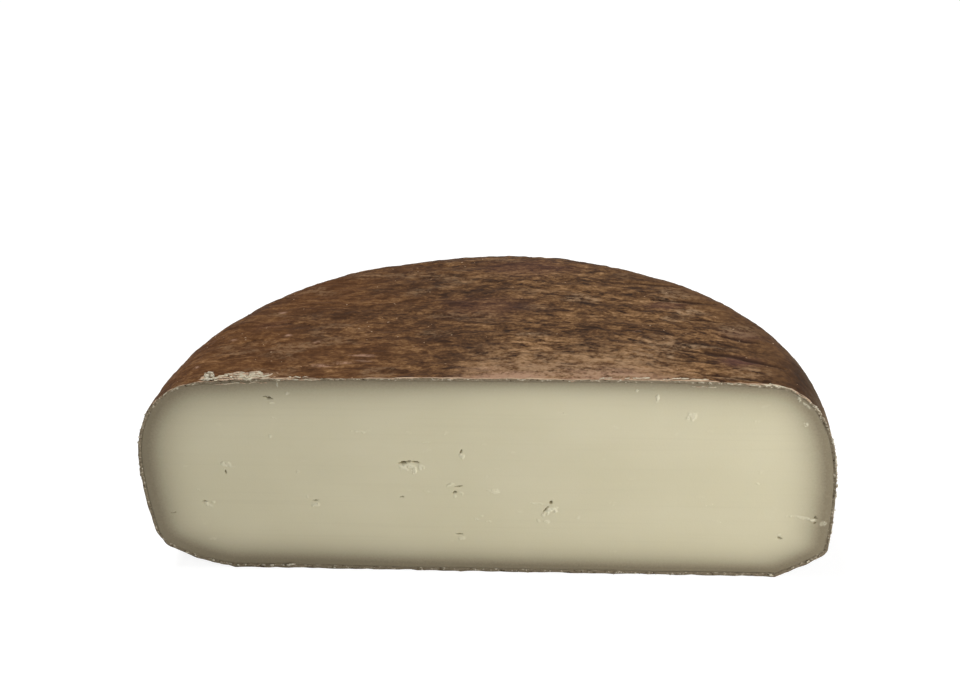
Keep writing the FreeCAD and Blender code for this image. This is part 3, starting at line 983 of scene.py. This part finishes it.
# What the knife tore: flakes along the top of the cut, crumbs on the cut, and the pale specks on the rind.
# Sizes are in millimetres, and counts are for each square millimetre.
torn = {
    "sides": 7,             # of one bit, before it is made ragged
    "rings": 4,
    "wobble": 1.4,          # how fine the raggedness is
    "tilts": {"surface": (0.3, 0.3, 0.7), "edge": (0.5, 0.22, 0.22)},
    "surface": (0.8, 0.15, 0.4, 0.2),       # roughness, gloss, strength and depth of the low relief
    "flakes": {
        "every": 0.55, "smallest": (0.5, 0.2, 0.16), "largest": (2.4, 0.45, 0.34),
        "ragged": (0.35, 0.1, 0.14), "seed": 3, "pale": (206, 198, 174), "dull": (190, 160, 134),
        # rows along an edge: from, to, how far down and back, how likely each flake is, how large
        "rows": (("top", (
            (-74, -59, -0.3, 0.1, 0.9, 1.6), (-74, -58, -0.7, 0.6, 0.9, 1.7),
            (-73, -59, -0.9, 1.3, 0.85, 1.7), (-71, -61, -0.9, 2.1, 0.75, 1.6),
            (-69, -62, -0.7, 2.9, 0.5, 1.4),
            (-73.5, -67, 0.9, -0.1, 0.95, 1.3), (-66, -59, 1.0, 0, 0.5, 0.9), (-57, -44, 0.3, 0, 0.7, 1.1),
            (-57, -46, -0.1, 0.8, 0.4, 1.0), (-44, -30, 0.3, 0, 0.45, 0.8), (-30, 34, 0.3, 0, 0.3, 0.65),
            (34, 38, -0.1, 0.5, 0.8, 0.9), (41, 47.5, -0.3, 0.5, 0.9, 1.1), (51, 58, -0.3, 0.5, 0.85, 1.1),
            (59, 64, -0.1, 0.6, 1.0, 1.0), (59, 66, 1.8, 0, 0.9, 0.8), (66, 78, 0.3, 0, 0.7, 0.9),
            (78, 88, 0.1, 0.1, 1.0, 1.4), (88, 96, 0.3, 0, 0.9, 1.0), (96, 99.6, 0.2, 0, 0.5, 0.8),
            (-96, -79, 0.2, 0, 0.5, 0.65),
        )),),
    },
    "edgeCrumbs": {
        "every": 0.45, "smallest": (0.2, 0.2, 0.15), "largest": (1.2, 0.8, 0.8),
        "ragged": (0.6, 0.5, 0.6), "seed": 8, "pale": (202, 194, 174), "dull": (142, 128, 106),
        "rows": (("top", (
            (-77.6, -73.4, -0.6, 0.4, 1.0, 1.6), (-77.2, -73.9, -1.2, 1.1, 1.0, 1.8),
            (-76.8, -74.4, -1.7, 1.8, 0.9, 1.6), (92, 99.9, 0, -0.1, 0.45, 1.0),
            (97.5, 99.9, 0.3, 0, 0.8, 1.2),
        )), ("bottom", (
            (98.7, 99.9, 0, -0.1, 0.5, 0.9), (-61, -57, -1.3, -0.2, 0.8, 1.6),
            (-76, -58, -0.9, -0.1, 0.3, 1.0), (-97, -76, -0.8, 0, 0.3, 0.8), (-56, 78, -0.5, 0, 0.12, 0.7),
            (78, 96, -0.9, -0.1, 0.4, 0.9),
        )), ("top", (
            (-99.9, -94, 0, 0, 0.2, 0.7),
        ))),
    },
    "rindCrumbs": {
        "each": 0.8, "smallest": (0.1, 0.1, 0.1), "largest": (0.9, 0.7, 0.5), "ragged": (0.3, 0.3, 0.3),
        "seed": 4, "pale": (206, 196, 174), "dull": (126, 110, 86),
    },
    "pasteCrumbs": {
        "each": 1.6, "smallest": (0.1, 0.08, 0.06), "largest": (0.5, 0.4, 0.24), "ragged": (0.2, 0.2, 0.2),
        "seed": 5, "pale": (222, 216, 192), "dull": (200, 192, 164),
    },
    "rindSpecks": {
        "each": 0.02, "smallest": (0.3, 0.25, 0.1), "largest": (0.9, 0.6, 0.2), "ragged": (0.3, 0.3, 0.1),
        "seed": 6, "pale": (180, 150, 120), "dull": (142, 110, 82),
    },
}


def bitMaterial(name, pale, dull):
    m = MaterialMaker(name)
    (tone,), grit = m.attributes("tone"), m.mottle(0.4, 2)
    colour = m.mix((tone * 0.7 + grit * 0.6).step(0.3, 0.9), dull, pale)
    return m.surface(colour, grit, torn["surface"])


def surfaceTree():
    # bits scattered over a surface, as many as one of its attributes says
    t = GrowthMaker("bitsOnSurface")
    share = t.attribute(t.input("where", "String"))
    density = share * t.input("each", "Float") * (1 / mm ** 2)
    spread = t.add("GeometryNodeDistributePointsOnFaces", {}, {
        "Mesh": t.host, "Density": density, "Seed": t.seed,
    })
    t.bits(spread.outputs["Points"], spread.outputs["Rotation"], torn["tilts"]["surface"], 1.0, True)
    return t


def edgeTree():
    # bits laid along an edge: its points say how likely each bit is and how large
    t = GrowthMaker("bitsOnEdge")
    curve = t.add("GeometryNodeMeshToCurve", {}, {"Mesh": t.host})
    spread = t.add("GeometryNodeCurveToPoints", {"mode": "LENGTH"}, {
        "Curve": curve, "Length": t.input("every", "Float") * mm,
    })
    along = t.add("FunctionNodeAlignRotationToVector", {"axis": "X"}, {"Vector": spread.outputs["Tangent"]})
    chosen = t.attribute("likely").calc("GREATER_THAN", t.attribute("likely"), t.random("FLOAT", 0.0, 1.0))
    t.bits(spread.outputs["Points"], along, torn["tilts"]["edge"], t.attribute("large"), chosen)
    return t


def edgeRows(name, rim):
    # rows of edges along the cut's rim, which carry how likely and how large the bits on them are
    high = rim[:, 2] > wheel["widestLevel"][0] * mm
    edges = {"top": rim[high], "bottom": rim[~high]}
    places, links, likely, large = [], [], [], []
    for edge, rows in torn[name]["rows"]:
        for start, end, drop, back, chance, size in rows:
            row = edges[edge]
            row = row[(row[:, 0] >= start * mm) & (row[:, 0] <= end * mm)] + (0, back * mm, -drop * mm)
            links += [(k, k + 1) for k in range(len(places), len(places) + len(row) - 1)]
            places += row.tolist()
            likely += [chance] * len(row)
            large += [size] * len(row)
    mesh = bpy.data.meshes.new("edgeRows")
    mesh.from_pydata(places, links, [])
    for label, values in (("likely", likely), ("large", large)):
        mesh.attributes.new(label, "FLOAT", "POINT").data.foreach_set("value", values)
    return addObject("edgeRows", mesh)


def makeTorn(rindPiece, pastePiece, loop):
    # each kind is one piece, grown from the piece that it was torn from and riding on the same root
    rim = np.array([rindPiece.data.vertices[k].co for k in loop.tolist()])
    rim = rim[np.argsort(rim[:, 0])]
    surface, edge = surfaceTree(), edgeTree()
    flakeRows, crumbRows = edgeRows("flakes", rim), edgeRows("edgeCrumbs", rim)
    for name, tree, host, where, slot in (
        ("flakes", edge, flakeRows, "", "rind"),
        ("edgeCrumbs", edge, crumbRows, "", "rind"),
        ("rindCrumbs", surface, rindPiece, "crumbly", "rind"),
        ("pasteCrumbs", surface, pastePiece, "torn", "paste"),
        ("rindSpecks", surface, rindPiece, "speckled", "rind"),
    ):
        sizes = torn[name]
        finish = bitMaterial(name, sizes["pale"], sizes["dull"])
        dress(tree.grow(name, host, {**sizes, "where": where, "finish": finish}))
    for rows in (flakeRows, crumbRows):
        bpy.data.objects.remove(rows)


studio = {
    "azimuth": 6.78,        # the camera looks this far round from straight at the cut
    "elevation": 27.58,
    "roll": -2.903,
    "distance": 0.49884,
    "aim": (-0.0041, -0.0027, 0.0496),
    "lens": 60.99,
    "white": 0.88,          # how much of the floor's brightness is its own, for a white background
    "floorHalf": 3.0,
    "floorSeen": 0.3,       # the floor's grey as the camera sees it, and as it lights the object
    "floorGrey": 0.8,
    "sky": 0.1,             # the world's light on the object; the camera sees white
    # each lamp's place, what it aims at, its size and its power
    "lamps": {
        "softAbove": ((-0.25, 0.1, 0.9), (0, 0, 0.03), 0.5, 6.5),
        "softFront": ((0.25, -0.5, 0.6), (0, 0, 0.03), 0.3, 0.3),
        "softRight": ((0.42, -0.36, 0.16), (0.03, -0.05, 0.03), 0.3, 1.9),
    },
}


def makeCamera():
    azimuth, elevation = math.radians(studio["azimuth"]), math.radians(studio["elevation"])
    level = math.cos(elevation)
    forward = Vector((-math.sin(azimuth) * level, math.cos(azimuth) * level, -math.sin(elevation)))
    roll = Matrix.Rotation(math.radians(studio["roll"]), 3, "Z")
    turned = forward.to_track_quat("-Z", "Y").to_matrix() @ roll
    camera = addObject("camera", bpy.data.cameras.new("camera"))
    camera.matrix_world = turned.to_4x4()
    camera.location = Vector(studio["aim"]) - forward * studio["distance"]
    camera.data.lens = studio["lens"]
    camera.data.clip_start = 0.01
    bpy.context.scene.camera = camera
    print("camera placed")


def makeLamp(name, place, aim, size, power):
    lamp = bpy.data.lights.new(name, "AREA")
    lamp.shape, lamp.size, lamp.energy = "DISK", size, power
    holder = addObject(name, lamp)
    holder.location = place
    holder.rotation_euler = (Vector(aim) - Vector(place)).to_track_quat("-Z", "Y").to_euler()


def seenRay(maker):
    # 1 for what the camera sees, straight or in a shiny or clear surface, and 0 for what lights the object
    path = maker.add("ShaderNodeLightPath", {}, {}).outputs
    seen = [Signal(maker, path[name]) for name in ("Is Camera Ray", "Is Glossy Ray", "Is Transmission Ray")]
    return (seen[0] + seen[1] + seen[2]).step(0, 1)


def makeStudio():
    m = MaterialMaker("whiteFloor")
    own = m.add("ShaderNodeEmission", {}, {"Color": (1, 1, 1, 1), "Strength": studio["white"]})
    seen, plain = (
        m.add("ShaderNodeBsdfDiffuse", {}, {"Color": (studio[grey],) * 3 + (1,)})
        for grey in ("floorSeen", "floorGrey")
    )
    both = m.add("ShaderNodeAddShader", {}, {0: seen, 1: own})
    shader = m.add("ShaderNodeMixShader", {}, {0: seenRay(m), 1: plain, 2: both})
    mesh = bpy.data.meshes.new("floor")
    half = studio["floorHalf"]
    corners = [(x * half, y * half, 0) for x, y in ((-1, -1), (1, -1), (1, 1), (-1, 1))]
    mesh.from_pydata(corners, [], [(0, 1, 2, 3)])
    mesh.materials.append(m.finish(shader))
    addObject("floor", mesh)

    world = bpy.data.worlds.new("studio")
    bpy.context.scene.world = world
    world.use_nodes = True
    sky = TreeMaker(world.node_tree)
    sky.tree.nodes.clear()
    strength = seenRay(sky) * (1 - studio["sky"]) + studio["sky"]
    light = sky.add("ShaderNodeBackground", {}, {"Color": (1, 1, 1, 1), "Strength": strength})
    sky.add("ShaderNodeOutputWorld", {}, {"Surface": light})

    for name, values in studio["lamps"].items():
        makeLamp(name, *values)
    bpy.context.scene.view_settings.view_transform = "Standard"
    print("studio lit")


makeCamera()
rindPiece, outline, loop = makeRind()
pastePiece = makePaste(outline)
makeTorn(rindPiece, pastePiece, loop)
makeStudio()
